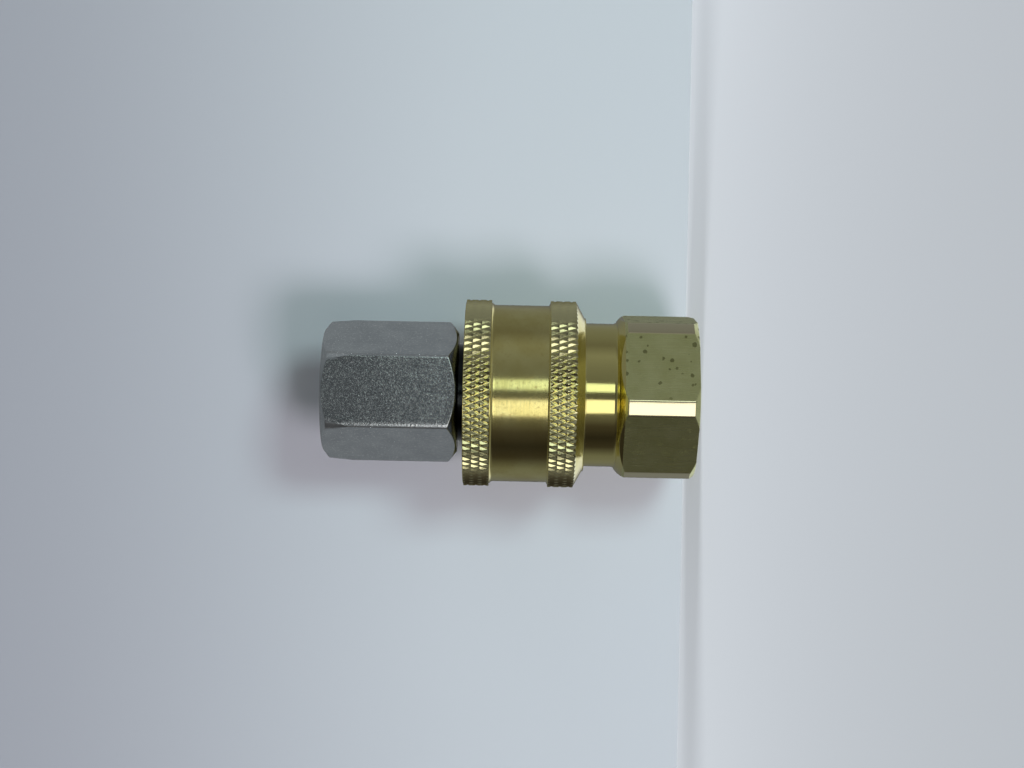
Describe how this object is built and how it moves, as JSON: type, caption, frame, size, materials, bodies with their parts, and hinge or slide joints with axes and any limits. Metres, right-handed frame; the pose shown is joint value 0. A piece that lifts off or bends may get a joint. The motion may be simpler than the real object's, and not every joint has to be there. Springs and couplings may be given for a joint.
{
  "type": "liquid cooling quick coupling",
  "caption": "Ball-lock quick coupling, joined: brass socket with a knurled sliding sleeve and plated steel hex plug, a pipe port at each end, for cooling hoses.",
  "frame": {"origin": "middle of the brass hex's end face, on the coupling's axis", "axes": "+Z along the coupling's axis from the brass socket to the steel plug; -Y is the front, which a flat of the steel hex faces"},
  "size_m": [0.029, 0.029, 0.0575],
  "materials": {
    "socket_brass": "turned brass bar, dull, with tarnish spots",
    "sleeve_brass": "turned and knurled brass, bright",
    "plated_steel": "zinc plated steel bar, satin",
    "spring_steel": "drawn spring steel wire",
    "ball_steel": "ground and polished",
    "valve_brass": "turned brass",
    "seal_rubber": "moulded nitrile rubber",
    "backup_plastic": "skived PTFE"
  },
  "bodies": {
    "socket": {"socket_body": "socket_brass", "sleeve_spring": "spring_steel", "sleeve_keeper_ring": "spring_steel", "nose_o_ring": "seal_rubber", "nose_backup_ring": "backup_plastic", "socket_valve_spring": "spring_steel", "socket_valve_guide": "valve_brass", "socket_snap_ring": "spring_steel"},
    "sleeve": {"sleeve": "sleeve_brass"},
    "plug": {"plug_body": "plated_steel", "plug_valve_spring": "spring_steel", "plug_valve_guide": "valve_brass", "plug_snap_ring": "spring_steel"},
    "socket_valve": {"socket_valve": "valve_brass", "socket_valve_seal": "seal_rubber"},
    "plug_valve": {"plug_valve": "valve_brass", "plug_valve_seal": "seal_rubber"},
    "ball_1": {"locking_ball_1": "ball_steel"},
    "ball_2": {"locking_ball_2": "ball_steel"},
    "ball_3": {"locking_ball_3": "ball_steel"},
    "ball_4": {"locking_ball_4": "ball_steel"},
    "ball_5": {"locking_ball_5": "ball_steel"},
    "ball_6": {"locking_ball_6": "ball_steel"},
    "ball_7": {"locking_ball_7": "ball_steel"},
    "ball_8": {"locking_ball_8": "ball_steel"}
  },
  "joints": [
    {"name": "sleeve_slide", "type": "slide", "parent": "socket", "child": "sleeve", "axis": [0, 0, -1], "range_m": [0, 0.0038], "stiffness_N_per_m": 1500, "springref_m": -0.004, "deforming": ["sleeve_spring"]},
    {"name": "plug_swivel", "type": "hinge", "parent": "socket", "child": "plug", "pos_m": [0, 0, 0.031], "axis": [0, 0, 1], "continuous": true},
    {"name": "socket_valve_slide", "type": "slide", "parent": "socket", "child": "socket_valve", "axis": [0, 0, 1], "range_m": [-0.0006, 0.0006], "stiffness_N_per_m": 1200, "deforming": ["socket_valve_spring"]},
    {"name": "plug_valve_slide", "type": "slide", "parent": "plug", "child": "plug_valve", "axis": [0, 0, 1], "range_m": [-0.0006, 0.0006], "deforming": ["plug_valve_spring"]},
    {"name": "ball_1_slide", "type": "slide", "parent": "socket", "child": "ball_1", "axis": [0.7071, 0.7071, 0], "range_m": [0, 0.00125]},
    {"name": "ball_2_slide", "type": "slide", "parent": "socket", "child": "ball_2", "axis": [0, 1, 0], "range_m": [0, 0.00125]},
    {"name": "ball_3_slide", "type": "slide", "parent": "socket", "child": "ball_3", "axis": [-0.7071, 0.7071, 0], "range_m": [0, 0.00125]},
    {"name": "ball_4_slide", "type": "slide", "parent": "socket", "child": "ball_4", "axis": [-1, 0, 0], "range_m": [0, 0.00125]},
    {"name": "ball_5_slide", "type": "slide", "parent": "socket", "child": "ball_5", "axis": [-0.7071, -0.7071, 0], "range_m": [0, 0.00125]},
    {"name": "ball_6_slide", "type": "slide", "parent": "socket", "child": "ball_6", "axis": [0, -1, 0], "range_m": [0, 0.00125]},
    {"name": "ball_7_slide", "type": "slide", "parent": "socket", "child": "ball_7", "axis": [0.7071, -0.7071, 0], "range_m": [0, 0.00125]},
    {"name": "ball_8_slide", "type": "slide", "parent": "socket", "child": "ball_8", "axis": [1, 0, 0], "range_m": [0, 0.00125]}
  ],
  "couplings": [
    {"joint": "plug_valve_slide", "follows": "socket_valve_slide", "ratio": 1},
    {"joint": "ball_1_slide", "follows": "sleeve_slide", "ratio": 0.3289},
    {"joint": "ball_2_slide", "follows": "sleeve_slide", "ratio": 0.3289},
    {"joint": "ball_3_slide", "follows": "sleeve_slide", "ratio": 0.3289},
    {"joint": "ball_4_slide", "follows": "sleeve_slide", "ratio": 0.3289},
    {"joint": "ball_5_slide", "follows": "sleeve_slide", "ratio": 0.3289},
    {"joint": "ball_6_slide", "follows": "sleeve_slide", "ratio": 0.3289},
    {"joint": "ball_7_slide", "follows": "sleeve_slide", "ratio": 0.3289},
    {"joint": "ball_8_slide", "follows": "sleeve_slide", "ratio": 0.3289}
  ]
}
